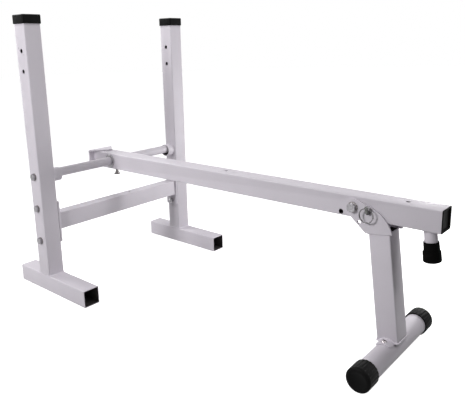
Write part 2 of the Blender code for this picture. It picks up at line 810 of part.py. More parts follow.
def make_leg(leg_hinge):
    """Folding leg: two side plates, tube, saddle and round foot, tilted with the leg."""
    pin_hole = lock_pin_diameter + 2 * hole_clearance
    span = plate_thickness + 2 * cut_overrun
    for side, start_x in (("left", -plate_outer_x), ("right", plate_inner_x)):
        plate = add_piece(
            side + "_leg_plate", extruded_outline(plate_outline(), plate_thickness), white_paint, leg_hinge,
            (start_x, 0.0, 0.0),
        )
        middle = plate_thickness / 2
        holes = [((middle, 0.0, 0.0), (1.0, 0.0, 0.0), pivot_bolt_diameter + 2 * hole_clearance, span)]
        for radius, angle in ((lock_hole_radius, lock_hole_angle), (fold_hole_radius, fold_hole_angle)):
            forward, rise = arc_point(radius, angle)
            holes.append(((middle, -forward, rise), (1.0, 0.0, 0.0), pin_hole, span))
        drill(plate, holes)
    make_leg_tube(leg_hinge)
    make_front_foot(leg_hinge)


def make_leg_tube(leg_hinge):
    """Square leg tube, its lower end cut to sit round the saddle."""
    length = leg_length - leg_top_drop
    shape = square_tube(tube_size, tube_size, length)
    leg = add_piece(
        "front_leg", shape, white_paint, leg_hinge, (0.0, -leg_offset, -leg_length),
    )
    notch = 2 * (saddle_outer_radius + seat_gap)
    span = tube_size + 2 * cut_overrun
    drill(leg, [((0.0, 0.0, 0.0), (1.0, 0.0, 0.0), notch, span)], "_notch", segments=notch_segments)


def make_front_foot(leg_hinge):
    """Round cross tube, the saddle screwed onto it and a fluted cap on each end."""
    foot_axis = add_empty("front_foot_axis", leg_hinge, (0.0, -leg_offset, -leg_length))
    tube_end = foot_half_length - foot_cap_end_thickness - seat_gap
    bore = foot_tube_diameter - 2 * tube_wall
    shape = round_tube(foot_tube_diameter, bore, 2 * tube_end, foot_tube_segments)
    tube = add_piece("front_foot_tube", shape, white_paint, foot_axis, (-tube_end, 0.0, 0.0), to_right)
    screw_hole = saddle_screw_diameter + 2 * hole_clearance
    tube_holes = []
    for sign in (-1, 1):
        crown = (-foot_tube_diameter / 2, 0.0, tube_end + sign * saddle_screw_offset)
        tube_holes.append((crown, (1.0, 0.0, 0.0), screw_hole, saddle_hole_depth))
    drill(tube, tube_holes, segments=small_hole_segments)
    make_saddle(foot_axis, screw_hole)
    for side, sign in (("left", -1), ("right", 1)):
        make_foot_cap(foot_axis, side, sign)
        screw = saddle_screw()
        add_piece(
            side + "_saddle_screw", screw, zinc_plate, foot_axis,
            (sign * saddle_screw_offset, 0.0, saddle_outer_radius + seat_gap),
        )


def make_saddle(foot_axis, screw_hole):
    """Curved plate on the crown of the foot tube."""
    angles = [
        quarter_turn + saddle_half_angle * (2 * step / saddle_steps - 1)
        for step in range(saddle_steps + 1)
    ]
    outline = [arc_point(saddle_outer_radius, angle) for angle in angles]
    outline += [arc_point(saddle_inner_radius, angle) for angle in reversed(angles)]
    saddle = add_piece(
        "foot_saddle", extruded_outline(outline, saddle_width), white_paint, foot_axis,
        (-saddle_width / 2, 0.0, 0.0),
    )
    holes = [
        (
            (saddle_width / 2 + sign * saddle_screw_offset, 0.0, saddle_outer_radius),
            (0.0, 0.0, 1.0),
            screw_hole,
            saddle_hole_depth,
        )
        for sign in (-1, 1)
    ]
    drill(saddle, holes, segments=small_hole_segments)


def saddle_screw():
    """Round-headed screw, its head above the origin."""
    head = saddle_screw_head_diameter / 2
    shank = saddle_screw_diameter / 2
    rise = saddle_screw_head_height
    return loft([
        circle_loop(head * dome_top_ratio, rise, screw_segments),
        circle_loop(head * dome_shoulder_ratio, rise * dome_shoulder_ratio, screw_segments),
        circle_loop(head, rise * dome_edge_ratio, screw_segments),
        circle_loop(head, 0.0, screw_segments),
        circle_loop(shank, 0.0, screw_segments),
        circle_loop(shank, shank - saddle_screw_length, screw_segments),
        circle_loop(shank * dome_edge_ratio, -saddle_screw_length, screw_segments),
    ])


def make_foot_cap(foot_axis, side, sign):
    """Fluted plastic cap over one end of the foot tube; a land of its rim touches the floor."""
    radius = foot_cap_diameter / 2
    pocket = foot_tube_diameter / 2 + seat_gap
    count = foot_cap_flutes * flute_steps
    pocket_depth = foot_cap_length - foot_cap_end_thickness
    flute_end = foot_cap_length - 2 * foot_cap_edge_radius
    loops = [
        circle_loop(pocket, pocket_depth, count),
        circle_loop(pocket, 0.0, count),
        fluted_loop(radius, 0.0, foot_cap_flutes, foot_cap_flute_depth),
        fluted_loop(radius, flute_end, foot_cap_flutes, foot_cap_flute_depth),
    ]
    for step in range(edge_round_steps):
        angle = quarter_turn * step / (edge_round_steps - 1)
        inset = foot_cap_edge_radius * (1 - math.cos(angle))
        height = foot_cap_length - foot_cap_edge_radius * (1 - math.sin(angle))
        loops.append(fluted_loop(radius - inset, height, foot_cap_flutes, 0.0))
    outward = to_right if sign > 0 else to_left
    start = sign * (foot_half_length - foot_cap_length)
    level = add_empty(side + "_foot_cap_level", foot_axis, (start, 0.0, 0.0), (leg_tilt, 0.0, 0.0))
    add_piece(side + "_foot_cap", loft(loops), black_plastic, level, rotation=outward)


def lock_pin_path():
    """Centre points and radii along the lock pin, from its tip in the plate to the end of its handle."""
    radius = lock_pin_diameter / 2
    lead = lock_pin_diameter * tip_chamfer_ratio
    path = [
        (Vector((plate_thickness, 0.0, 0.0)), radius - lead),
        (Vector((plate_thickness - lead, 0.0, 0.0)), radius),
    ]
    for step in range(2 * edge_round_steps + 1):
        angle = lock_pin_bend_angle * step / (2 * edge_round_steps)
        out = lock_pin_draw + lock_pin_bend_radius * math.sin(angle)
        rise = lock_pin_bend_radius * (1 - math.cos(angle))
        path.append((Vector((-out, 0.0, rise)), radius))
    along = Vector((-math.cos(lock_pin_bend_angle), 0.0, math.sin(lock_pin_bend_angle)))
    arm_end = path[-1][0] + along * lock_pin_arm_length
    path.append((arm_end - along * lead, radius))
    path.append((arm_end, radius - lead))
    ring_eye = arm_end - along * ring_hole_from_tip
    return path, ring_eye


def make_lock_pin(pin_axis):
    """Drawn lock pin: a straight shank through the near plate, and a handle bent up and outward."""
    path, ring_eye = lock_pin_path()
    across = Vector((0.0, 1.0, 0.0))
    loops = []
    for index, (centre, radius) in enumerate(path):
        before = path[max(index - 1, 0)][0]
        after = path[min(index + 1, len(path) - 1)][0]
        upward = (after - before).normalized().cross(across)
        loops.append([
            centre + radius * (across * math.cos(turn) + upward * math.sin(turn))
            for turn in (math.tau * step / pin_segments for step in range(pin_segments))
        ])
    pin = add_piece("lock_pin", loft(loops), dark_steel, pin_axis)
    eye_diameter = ring_wire_diameter + 2 * ring_hole_slack
    drill(pin, [(ring_eye, (0.0, 1.0, 0.0), eye_diameter, 2 * lock_pin_diameter)], segments=pin_segments)
    return ring_eye


def make_pin_ring(ring_axis):
    """Pull ring hanging from the eye of the lock pin."""
    centre = Vector((0.0, 0.0, -ring_mean_radius))
    loops = []
    for step in range(ring_segments):
        angle = math.tau * step / ring_segments
        outward = Vector((0.0, math.sin(angle), math.cos(angle)))
        middle = centre + outward * ring_mean_radius
        loops.append([
            middle + outward * across + Vector((sideways, 0.0, 0.0))
            for across, sideways in (
                arc_point(ring_wire_diameter / 2, math.tau * side / wire_segments)
                for side in range(wire_segments)
            )
        ])
    add_piece("pin_ring", loft(loops, closed=True), zinc_plate, ring_axis)


def main():
    clear_scene()
    rack_line = add_empty("rack_line", None, (0.0, rack_line_y, 0.0))
    make_rack(rack_line)
    beam_hinge = add_empty("beam_hinge", rack_line, (0.0, 0.0, bar_height))
    make_beam(beam_hinge)
    make_clamp_screw(add_empty("clamp_screw_axis", beam_hinge))
    leg_hinge = add_empty("leg_hinge", beam_hinge, (0.0, -leg_pivot_reach, 0.0), (-leg_tilt, 0.0, 0.0))
    make_leg(leg_hinge)
    forward, rise = arc_point(lock_hole_radius, lock_hole_angle)
    pin_place = (-plate_outer_x, -forward, rise)
    pin_axis = add_empty("lock_pin_axis", leg_hinge, pin_place, (leg_tilt, 0.0, 0.0))
    ring_eye = make_lock_pin(pin_axis)
    make_pin_ring(add_empty("pin_ring_axis", pin_axis, ring_eye))


main()
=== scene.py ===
import json
from math import acos, asin, atan2, cos, degrees, pi, radians, sin, sqrt, tan, tau

import bmesh
import bpy
from mathutils import Matrix, Vector

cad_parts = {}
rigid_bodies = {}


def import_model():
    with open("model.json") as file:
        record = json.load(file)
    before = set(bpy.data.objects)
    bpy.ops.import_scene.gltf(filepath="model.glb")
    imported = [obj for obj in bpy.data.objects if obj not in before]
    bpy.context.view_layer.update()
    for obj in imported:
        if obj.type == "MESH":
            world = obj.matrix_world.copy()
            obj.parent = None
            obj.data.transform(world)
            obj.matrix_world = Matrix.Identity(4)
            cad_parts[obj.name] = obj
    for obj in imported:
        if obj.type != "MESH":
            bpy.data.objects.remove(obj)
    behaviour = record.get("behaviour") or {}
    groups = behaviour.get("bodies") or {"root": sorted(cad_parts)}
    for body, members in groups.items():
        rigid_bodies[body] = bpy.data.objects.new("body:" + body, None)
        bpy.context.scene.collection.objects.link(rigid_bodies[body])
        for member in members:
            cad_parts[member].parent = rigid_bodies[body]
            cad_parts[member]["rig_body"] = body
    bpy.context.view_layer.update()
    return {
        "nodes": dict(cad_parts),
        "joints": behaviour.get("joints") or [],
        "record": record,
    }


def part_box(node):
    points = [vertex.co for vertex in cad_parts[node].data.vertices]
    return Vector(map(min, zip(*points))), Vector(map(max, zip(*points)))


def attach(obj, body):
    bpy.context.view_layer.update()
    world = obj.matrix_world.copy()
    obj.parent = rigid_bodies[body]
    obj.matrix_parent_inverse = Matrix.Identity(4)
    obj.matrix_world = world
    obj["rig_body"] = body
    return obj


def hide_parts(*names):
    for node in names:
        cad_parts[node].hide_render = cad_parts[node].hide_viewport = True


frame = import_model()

nodes = frame["nodes"]
slots = {part["node"]: part["material_slot"] for part in frame["record"]["subparts"]}
joint_places = {joint["name"]: Vector(joint.get("pos_m", (0, 0, 0))) for joint in frame["joints"]}
hinge = joint_places["beam_hinge"]
pivot = joint_places["leg_fold"]
sides = (("left", -1), ("right", 1))
across = (1.0, 0.0, 0.0)
lengthwise = (0.0, 1.0, 0.0)
upward = (0.0, 0.0, 1.0)

# Photograph and camera
photo_width = 465
focal_pixels = 549.57
principal_offset_x = -6.14
principal_offset_y = -32.55
camera_place = Vector((-1.0912, -0.9461, 0.7051))
camera_azimuth = radians(49.264)
camera_drop = radians(13.066)
camera_roll = radians(-1.323)
sensor_width = 36.0

# Light: place, size and power of each soft lamp, and the one place that all of them face
lamps = {
    "key_left": ((-2.15, 0.35, 1.4), 0.6, 34.4),
    "above_right": ((1.0, -0.2, 2.2), 1.0, 4.0),
    "above_front": ((0.6, -1.0, 2.6), 0.8, 13.0),
    "front": ((0.3, -2.0, 2.0), 0.8, 10.3),
    "back": ((-0.4, 2.0, 1.7), 1.2, 33.0),
    "low_right": ((1.0, -0.35, 0.35), 0.6, 8.2),
}
lamp_target = (0.0, 0.0, 0.4)

# Strength of the world's light, and how white floor and background look to the camera and in gloss
world_light = 0.01
background_glow = 1.0
floor_colour = 0.50
floor_glow = 1.0
floor_gloss_glow = 0.5
floor_radius = 14.0
floor_drop = 0.0004

# Tubes and plates
tube_wall = 0.002
tube_radius = 0.003
tube_end_round = 0.0004
hinge_bar_wall = 0.002
plate_thickness = 0.004
bumper_tilt = radians(7.0)
leg_tilt = radians(7.0)
leg_tube = 0.050
leg_top_drop = 0.0552
leg_offset = 0.0553

# Saddle between the leg and the round foot: its crown lies over the foot's axis
saddle_crown = 0.0286
saddle_end_height = 0.0212
saddle_gap = 0.0003
saddle_thickness = 0.003
saddle_width = 0.100
saddle_corner = 0.007
saddle_screw_shift = 0.0025

# Holes: diameters, and where the frame doesn't give them, heights, reaches and angles
hook_heights = (0.6985, 0.6435)
hook_hole = 0.0120
bolt_hole = 0.0106
bar_hole = 0.0337
pivot_hole = 0.0126
clamp_hole = 0.0086
pad_reaches = (0.470, 0.974)
pad_hole = 0.011
drain_shift = 0.044
drain_hole = 0.008
pin_reach = 0.0388
pin_angle = radians(-16.5)
pin_hole = 0.0086
fold_reach = 0.0349
fold_angle = radians(-63.8 - 95.0)
fold_hole = 0.0118
drill_depth = 0.07

# Bolts
rack_bolt = {"diameter": 0.010, "flats": 0.017, "head": 0.0064, "pitch": 0.0015}
pivot_bolt = {"diameter": 0.012, "flats": 0.019, "head": 0.0075, "pitch": 0.00175}
washer_clearance = 0.0006
crossbar_thread = 0.022
bar_thread = 0.030
pivot_thread = 0.026
chamfer_slope = tan(radians(30.0))
chamfer_share = 0.94

# Facets
round_steps = 64
fastener_steps = 60
corner_steps = 7
bead_sides = 12
ripple_steps = 6
clamp_knurls = 20
cap_flutes = 20
smooth_angle = 38.0
crisp_angle = 25.0


def aimed(origin, direction, reference=upward):
    """Matrix whose +Z runs along a direction from an origin, with +X as near as can be to the reference."""
    z_axis = Vector(direction).normalized()
    reference = Vector(reference)
    if abs(z_axis.dot(reference)) > 0.99:
        reference = Vector(across if abs(z_axis.x) < 0.5 else lengthwise)
    x_axis = (reference - z_axis * reference.dot(z_axis)).normalized()
    y_axis = z_axis.cross(x_axis)
    turn = Matrix((x_axis, y_axis, z_axis)).transposed().to_4x4()
    return Matrix.Translation(origin) @ turn


def box_of(node):
    low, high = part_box(node)
    return low, high, (low + high) / 2


def centre_of(node):
    return box_of(node)[2]


def size_of(node):
    low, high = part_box(node)
    return high - low


def both(name):
    """The left and the right node of a name, each with the sign of its side."""
    return ("left_" + name, -1), ("right_" + name, 1)


def outward(node, sign, inset=0.0):
    """Matrix on a node's axis across the bench, with +Z outward, its origin an inset from the outer end."""
    low, high, centre = box_of(node)
    outer = high.x if sign > 0 else low.x
    return aimed((outer - sign * inset, centre.y, centre.z), (sign, 0.0, 0.0))


def inward(node, sign):
    """Matrix on a node's axis across the bench, its origin on the end at one side and +Z along the node."""
    return aimed(outward(node, sign).translation, (-sign, 0.0, 0.0))


def about_pivot(reach, angle, x=0.0):
    """Place at a reach and an angle from the leg's pivot; the angle turns with the leg's tilt."""
    turn = angle + leg_tilt
    return Vector((x, pivot.y - reach * cos(turn), pivot.z + reach * sin(turn)))


def leg_and_foot():
    """Matrix of the leg's own tilted frame, its origin on the pivot, and the round foot's centre in it."""
    leg = Matrix.Translation(pivot) @ Matrix.Rotation(-leg_tilt, 4, "X")
    return leg, leg.inverted() @ centre_of("front_foot_tube")


def mesh_of(name, shape):
    """Mesh from a bmesh, which is used up."""
    mesh = bpy.data.meshes.new(name)
    shape.to_mesh(mesh)
    shape.free()
    return mesh


def new_object(name, data):
    made = bpy.data.objects.new(name, data)
    bpy.context.scene.collection.objects.link(made)
    return made


def soften(mesh, angle):
    """Smooth shade, apart from edges sharper than an angle in degrees."""
    mesh.shade_smooth()
    mesh.set_sharp_from_angle(angle=radians(angle))


def add_mesh(name, shape, material, body, matrix=Matrix(), replaces=(), angle=smooth_angle):
    """Turn a bmesh into a piece that rides on a body."""
    bmesh.ops.recalc_face_normals(shape, faces=shape.faces[:])
    mesh = mesh_of(name, shape)
    soften(mesh, angle)
    mesh.materials.append(material)
    mesh.materials.append(bare_steel)
    piece = new_object(name, mesh)
    piece.matrix_world = matrix
    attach(piece, body)
    if replaces:
        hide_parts(*replaces)
    return piece


def stand_in(node, shape, material, matrix, angle=smooth_angle):
    """Finer piece in place of a node, with the node's own body."""
    body = nodes[node]["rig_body"]
    return add_mesh(node + "_fine", shape, material, body, matrix, (node,), angle)


def loft(loops, closed=False, bare_row=None):
    """Skin between loops of equal count; the ends are filled unless the skin closes on itself.
    The strip that starts at the bare row takes the piece's second material."""
    shape = bmesh.new()
    rows = [[shape.verts.new(point) for point in loop] for loop in loops]
    pairs = list(zip(rows, rows[1:]))
    if closed:
        pairs.append((rows[-1], rows[0]))
    for row, (lower, upper) in enumerate(pairs):
        count = len(lower)
        for index in range(count):
            following = (index + 1) % count
            face = shape.faces.new((lower[index], lower[following], upper[following], upper[index]))
            face.material_index = 1 if row == bare_row else 0
    if not closed:
        shape.faces.new(rows[0])
        shape.faces.new(rows[-1])
    return shape


def ring_of(radius_at, height, steps):
    """Level loop whose radius is a function of the angle."""
    points = []
    for step in range(steps):
        angle = tau * step / steps
        radius = radius_at(angle)
        points.append(Vector((radius * cos(angle), radius * sin(angle), height)))
    return points


def circle(radius, height, steps=round_steps):
    return ring_of(lambda angle: radius, height, steps)


def rounded_rectangle(width, depth, radius, height):
    points = []
    for corner in range(4):
        sign_x = 1 if corner in (0, 3) else -1
        sign_y = 1 if corner in (0, 1) else -1
        for step in range(corner_steps + 1):
            angle = radians(90.0) * (corner + step / corner_steps)
            points.append(Vector((
                sign_x * (width / 2 - radius) + radius * cos(angle),
                sign_y * (depth / 2 - radius) + radius * sin(angle),
                height,
            )))
    return points


def rounded_square(width, radius, height):
    return rounded_rectangle(width, width, radius, height)


def arc_profile(centre, radius, start, end, steps):
    """Points of an arc in the plane of radius and height, its angles in degrees."""
    turns = [radians(start + (end - start) * step / steps) for step in range(steps + 1)]
    return [(centre[0] + radius * cos(turn), centre[1] + radius * sin(turn)) for turn in turns]


def shoulder(radius, steps):
    """Insets and drops along a quarter round, from its foot to its crown."""
    turns = [radians(90.0) * step / steps for step in range(steps + 1)]
    return [(radius * (1 - cos(turn)), radius * (1 - sin(turn))) for turn in turns]


def turned(profile, closed=False, steps=round_steps, bare_row=None):
    """Turned solid from a profile of radius and height."""
    return loft([circle(radius, height, steps) for radius, height in profile], closed, bare_row)


def square_tube(width, depth, length):
    """Hollow tube along +Z whose sawn ends have a small round on their outer edge."""
    edge = tube_end_round
    middle = edge * 0.3
    inner = (width - 2 * tube_wall, depth - 2 * tube_wall, tube_radius - tube_wall)
    start = [(edge, 0.0), (middle, middle), (0.0, edge)]
    end = [(inset, length - height) for inset, height in reversed(start)]
    loops = [
        rounded_rectangle(width - 2 * inset, depth - 2 * inset, tube_radius - inset, height)
        for inset, height in start + end
    ]
    loops.append(rounded_rectangle(*inner, length))
    loops.append(rounded_rectangle(*inner, 0.0))
    return loft(loops, closed=True, bare_row=len(loops) - 2)


def cut_away(piece, shape, crossing=False):
    """Take a bmesh in a piece's own space away from it; crossing, where the bmesh runs through itself."""
    mesh = mesh_of("cutter", shape)
    cutter = new_object("cutter", mesh)
    cutter.matrix_world = piece.matrix_world
    cut = piece.modifiers.new("cut", "BOOLEAN")
    cut.operation = "DIFFERENCE"
    cut.solver = "EXACT"
    cut.use_self = crossing
    cut.object = cutter
    bpy.context.view_layer.update()
    depsgraph = bpy.context.evaluated_depsgraph_get()
    result = bpy.data.meshes.new_from_object(piece.evaluated_get(depsgraph))
    piece.modifiers.clear()
    uncut = piece.data
    piece.data = result
    bpy.data.meshes.remove(uncut)
    bpy.data.objects.remove(cutter)
    bpy.data.meshes.remove(mesh)
    soften(result, smooth_angle)


def drill(piece, holes, steps=48):
    """Cut round holes in a piece; each hole is its place, axis and diameter in the model's frame."""
    shape = bmesh.new()
    for place, axis, diameter in holes:
        matrix = piece.matrix_world.inverted() @ aimed(place, axis)
        bmesh.ops.create_cone(
            shape, cap_ends=True, segments=steps, radius1=diameter / 2, radius2=diameter / 2,
            depth=drill_depth, matrix=matrix,
        )
    cut_away(piece, shape)


class Shader:
    """A Principled material with short calls for its textures."""

    def __init__(self, name, metallic=0.0, specular=0.5):
        self.material = bpy.data.materials.new(name)
        self.material.use_nodes = True
        self.tree = self.material.node_tree
        self.principled = self.tree.nodes["Principled BSDF"]
        self.principled.inputs["Metallic"].default_value = metallic
        self.principled.inputs["Specular IOR Level"].default_value = specular
        self.place = self.tree.nodes.new("ShaderNodeTexCoord").outputs["Object"]

    def node(self, kind, label, source, **numbers):
        """New node with one input joined to a source and others set to numbers."""
        made = self.tree.nodes.new(kind)
        self.tree.links.new(source, made.inputs[label])
        for name, number in numbers.items():
            made.inputs[name.replace("_", " ")].default_value = number
        return made

    def stretched(self, scale):
        return self.node("ShaderNodeMapping", "Vector", self.place, Scale=scale).outputs["Vector"]

    def noise(self, scale, detail=3.0, place=None):
        place = place or self.place
        return self.node("ShaderNodeTexNoise", "Vector", place, Scale=scale, Detail=detail).outputs["Fac"]

    def ramp(self, value, low, low_colour, high, high_colour):
        """Colour that runs from one tone at a low value to another at a high one."""
        made = self.node("ShaderNodeValToRGB", "Fac", value)
        stops = ((low, low_colour), (high, high_colour))
        for element, (position, colour) in zip(made.color_ramp.elements, stops):
            element.position = position
            element.color = (*colour, 1.0)
        return made.outputs["Color"]

    def colour(self, source):
        self.tree.links.new(source, self.principled.inputs["Base Color"])

    def roughness(self, value, low, high):
        """Roughness that runs from low to high over the middle of a noise."""
        span = {"From_Min": 0.3, "From_Max": 0.7, "To_Min": low, "To_Max": high}
        made = self.node("ShaderNodeMapRange", "Value", value, **span)
        self.tree.links.new(made.outputs["Result"], self.principled.inputs["Roughness"])

    def relief(self, value, strength, distance):
        """Bump, laid over the one that the material has already."""
        made = self.node("ShaderNodeBump", "Height", value, Strength=strength, Distance=distance)
        normal = self.principled.inputs["Normal"]
        if normal.is_linked:
            self.tree.links.new(normal.links[0].from_socket, made.inputs["Normal"])
        self.tree.links.new(made.outputs["Normal"], normal)


def shade(colour, factor):
    return tuple(channel * factor for channel in colour)


def paint_material():
    """Pale lilac powder coat: cloudy tone, fine orange peel and a few darker specks."""
    tone = (0.652, 0.615, 0.669)
    shader = Shader("powder_coat", specular=0.20)
    clouds = shader.noise(7.0, detail=4.0)
    colour = shader.ramp(clouds, 0.30, shade(tone, 0.965), 0.70, shade(tone, 1.03))
    specks = shader.noise(420.0, detail=2.0)
    mask = shader.ramp(specks, 0.70, (0.0, 0.0, 0.0), 0.78, (1.0, 1.0, 1.0))
    mix = shader.tree.nodes.new("ShaderNodeMix")
    mix.data_type = "RGBA"
    shader.tree.links.new(mask, mix.inputs["Factor"])
    shader.tree.links.new(colour, mix.inputs["A"])
    mix.inputs["B"].default_value = (*shade(tone, 0.86), 1.0)
    shader.colour(mix.outputs["Result"])
    shader.roughness(shader.noise(34.0), 0.40, 0.52)
    shader.relief(shader.noise(520.0, detail=1.5), 0.16, 0.0004)
    shader.relief(shader.noise(46.0, detail=2.0), 0.05, 0.0012)
    return shader.material


def clouded_material(name, clouds, tones, patches, shine, grain=None, **finish):
    """Two tones in clouds, roughness in patches and, where it is given, a fine grain.
    Clouds are a scale, a detail and the noise at which each tone stands; patches are a scale, and
    shine is their lowest and highest roughness; grain is a scale, a detail, a strength and a depth."""
    shader = Shader(name, **finish)
    scale, detail, low, high = clouds
    shader.colour(shader.ramp(shader.noise(scale, detail), low, tones[0], high, tones[1]))
    shader.roughness(shader.noise(patches), *shine)
    if grain:
        scale, detail, strength, depth = grain
        shader.relief(shader.noise(scale, detail), strength, depth)
    return shader.material


def zinc_material(name, tone):
    """Zinc plate: turned streaks and a faint spangle."""
    shader = Shader(name, metallic=1.0)
    streaks = shader.noise(260.0, place=shader.stretched((1.0, 1.0, 9.0)))
    shader.colour(shader.ramp(streaks, 0.28, shade(tone, 0.76), 0.72, shade(tone, 1.24)))
    shader.roughness(shader.noise(150.0), 0.22, 0.40)
    shader.relief(streaks, 0.12, 0.0002)
    return shader.material


paint = paint_material()
zinc = zinc_material("zinc_plate", (0.34, 0.33, 0.348))
screw_zinc = zinc_material("screw_zinc", (0.35, 0.32, 0.33))
# Black moulded plastic with a spark-eroded grain
plastic = clouded_material(
    "moulded_plastic", specular=0.05,
    clouds=(26.0, 3.0, 0.30, 0.70), tones=((0.0030, 0.0030, 0.0030), (0.0055, 0.0055, 0.0056)),
    patches=90.0, shine=(0.38, 0.54), grain=(1500.0, 2.0, 0.25, 0.0002),
)
# Matt black rubber with a dusty bloom
rubber = clouded_material(
    "black_rubber", specular=0.02,
    clouds=(40.0, 5.0, 0.35, 0.72), tones=((0.0020, 0.0020, 0.0020), (0.0045, 0.0044, 0.0043)),
    patches=120.0, shine=(0.62, 0.80), grain=(900.0, 3.0, 0.30, 0.0003),
)
# Zinc of the washers and the clamp screw: duller than the bolts, and darker than them as painted shade
shade_darkened_zinc = clouded_material(
    "shade_darkened_zinc", metallic=1.0,
    clouds=(310.0, 4.0, 0.32, 0.70), tones=((0.15, 0.14, 0.14), (0.29, 0.27, 0.27)),
    patches=240.0, shine=(0.30, 0.50), grain=(700.0, 3.0, 0.15, 0.0002),
)
# Sprung wire of the pull ring, darker where it has oxidised
ring_steel = clouded_material(
    "ring_steel", metallic=1.0,
    clouds=(150.0, 3.0, 0.34, 0.68), tones=((0.10, 0.098, 0.10), (0.23, 0.225, 0.23)),
    patches=180.0, shine=(0.18, 0.34),
)
# Plated steel of the lock pin, with rubbed patches
dark_steel = clouded_material(
    "dark_plated_steel", metallic=1.0,
    clouds=(190.0, 4.0, 0.34, 0.70), tones=((0.09, 0.09, 0.09), (0.21, 0.21, 0.205)),
    patches=230.0, shine=(0.26, 0.46), grain=(800.0, 3.0, 0.15, 0.0002),
)
# Unpainted inside of the tubes: mill scale with a little rust
bare_steel = clouded_material(
    "bare_steel", metallic=0.35, specular=0.4,
    clouds=(60.0, 4.0, 0.32, 0.68), tones=((0.030, 0.029, 0.030), (0.070, 0.064, 0.062)),
    patches=110.0, shine=(0.52, 0.74), grain=(420.0, 3.0, 0.20, 0.0003),
)
finishes = {
    "white_paint": paint,
    "black_plastic": plastic,
    "black_rubber": rubber,
    "zinc": zinc,
    "dark_steel": dark_steel,
}


def finish_solids():
    """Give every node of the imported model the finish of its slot."""
    for node, slot in slots.items():
        materials = nodes[node].data.materials
        materials.clear()
        materials.append(finishes[slot])


def setup_camera():
    camera_data = bpy.data.cameras.new("photo_camera")
    camera = new_object("photo_camera", camera_data)
    forward = Vector((
        sin(camera_azimuth) * cos(camera_drop),
        cos(camera_azimuth) * cos(camera_drop),
        -sin(camera_drop),
    ))
    level_right = forward.cross(Vector(upward)).normalized()
    level_up = level_right.cross(forward)
    right = cos(camera_roll) * level_right + sin(camera_roll) * level_up
    up = -sin(camera_roll) * level_right + cos(camera_roll) * level_up
    turn = Matrix((right, up, -forward)).transposed().to_4x4()
    camera.matrix_world = Matrix.Translation(camera_place) @ turn
    camera_data.sensor_width = sensor_width
    camera_data.lens = sensor_width * focal_pixels / photo_width
    camera_data.shift_x = -principal_offset_x / photo_width
    camera_data.shift_y = principal_offset_y / photo_width
    camera_data.clip_start = 0.05
    camera_data.clip_end = 60.0
    bpy.context.scene.camera = camera


def shown_strength(tree, camera_strength, gloss_strength, lowest=0.0):
    """Strength of a glow: one for camera rays, one for rays in gloss and glass, the lowest for all others."""
    path = tree.nodes.new("ShaderNodeLightPath")
    strength = tree.nodes.new("ShaderNodeValue").outputs["Value"]
    strength.default_value = lowest
    shares = {
        "Is Camera Ray": camera_strength,
        "Is Glossy Ray": gloss_strength,
        "Is Transmission Ray": gloss_strength,
    }
    for label, share in shares.items():
        scaled = tree.nodes.new("ShaderNodeMath")
        scaled.operation = "MULTIPLY"
        scaled.inputs[1].default_value = share
        tree.links.new(path.outputs[label], scaled.inputs[0])
        larger = tree.nodes.new("ShaderNodeMath")
        larger.operation = "MAXIMUM"
        tree.links.new(scaled.outputs["Value"], larger.inputs[0])
        tree.links.new(strength, larger.inputs[1])
        strength = larger.outputs["Value"]
    return strength


def setup_world():
    """Weak light all round, white to the camera and in gloss."""
    world = bpy.data.worlds.new("studio")
    bpy.context.scene.world = world
    world.use_nodes = True
    tree = world.node_tree
    background = tree.nodes["Background"]
    background.inputs["Color"].default_value = (1.0, 1.0, 1.0, 1.0)
    strength = shown_strength(tree, background_glow, background_glow, lowest=world_light)
    tree.links.new(strength, background.inputs["Strength"])


def setup_floor():
    """Pale floor that looks white where the light falls on it and keeps the object's soft shadow."""
    shape = bmesh.new()
    bmesh.ops.create_circle(shape, cap_ends=True, segments=96, radius=floor_radius)
    mesh = mesh_of("floor", shape)
    floor = new_object("floor", mesh)
    floor.location = (0.0, 0.0, -floor_drop)
    material = bpy.data.materials.new("floor_white")
    material.use_nodes = True
    tree = material.node_tree
    shader = tree.nodes["Principled BSDF"]
    shader.inputs["Base Color"].default_value = (floor_colour, floor_colour, floor_colour, 1.0)
    shader.inputs["Roughness"].default_value = 0.9
    shader.inputs["Specular IOR Level"].default_value = 0.0
    glow = tree.nodes.new("ShaderNodeEmission")
    tree.links.new(shown_strength(tree, floor_glow, floor_gloss_glow), glow.inputs["Strength"])
    total = tree.nodes.new("ShaderNodeAddShader")
    tree.links.new(shader.outputs["BSDF"], total.inputs[0])
    tree.links.new(glow.outputs["Emission"], total.inputs[1])
    tree.links.new(total.outputs["Shader"], tree.nodes["Material Output"].inputs["Surface"])
    mesh.materials.append(material)


def setup_lights():
    for name, (place, size, power) in lamps.items():
        lamp_data = bpy.data.lights.new(name, "AREA")
        lamp_data.shape = "DISK"
        lamp_data.size = size
        lamp_data.energy = power
        lamp = new_object(name, lamp_data)
        lamp.matrix_world = aimed(place, Vector(place) - Vector(lamp_target))
        lamp.visible_camera = False


def evenly(path, closed, pitch):
    """Points at equal ways along a path, a whole number of weld ripples in all."""
    ring = path + [path[0]] if closed else path
    lengths = [0.0]
    for before, after in zip(ring, ring[1:]):
        lengths.append(lengths[-1] + (after - before).length)
    steps = max(3, round(lengths[-1] / pitch)) * ripple_steps
    points = []
    for step in range(steps if closed else steps + 1):
        goal = lengths[-1] * step / steps
        index = 0
        while index < len(lengths) - 2 and lengths[index + 1] < goal:
            index += 1
        share = (goal - lengths[index]) / max(lengths[index + 1] - lengths[index], 1e-9)
        points.append(ring[index].lerp(ring[index + 1], share))
    return points


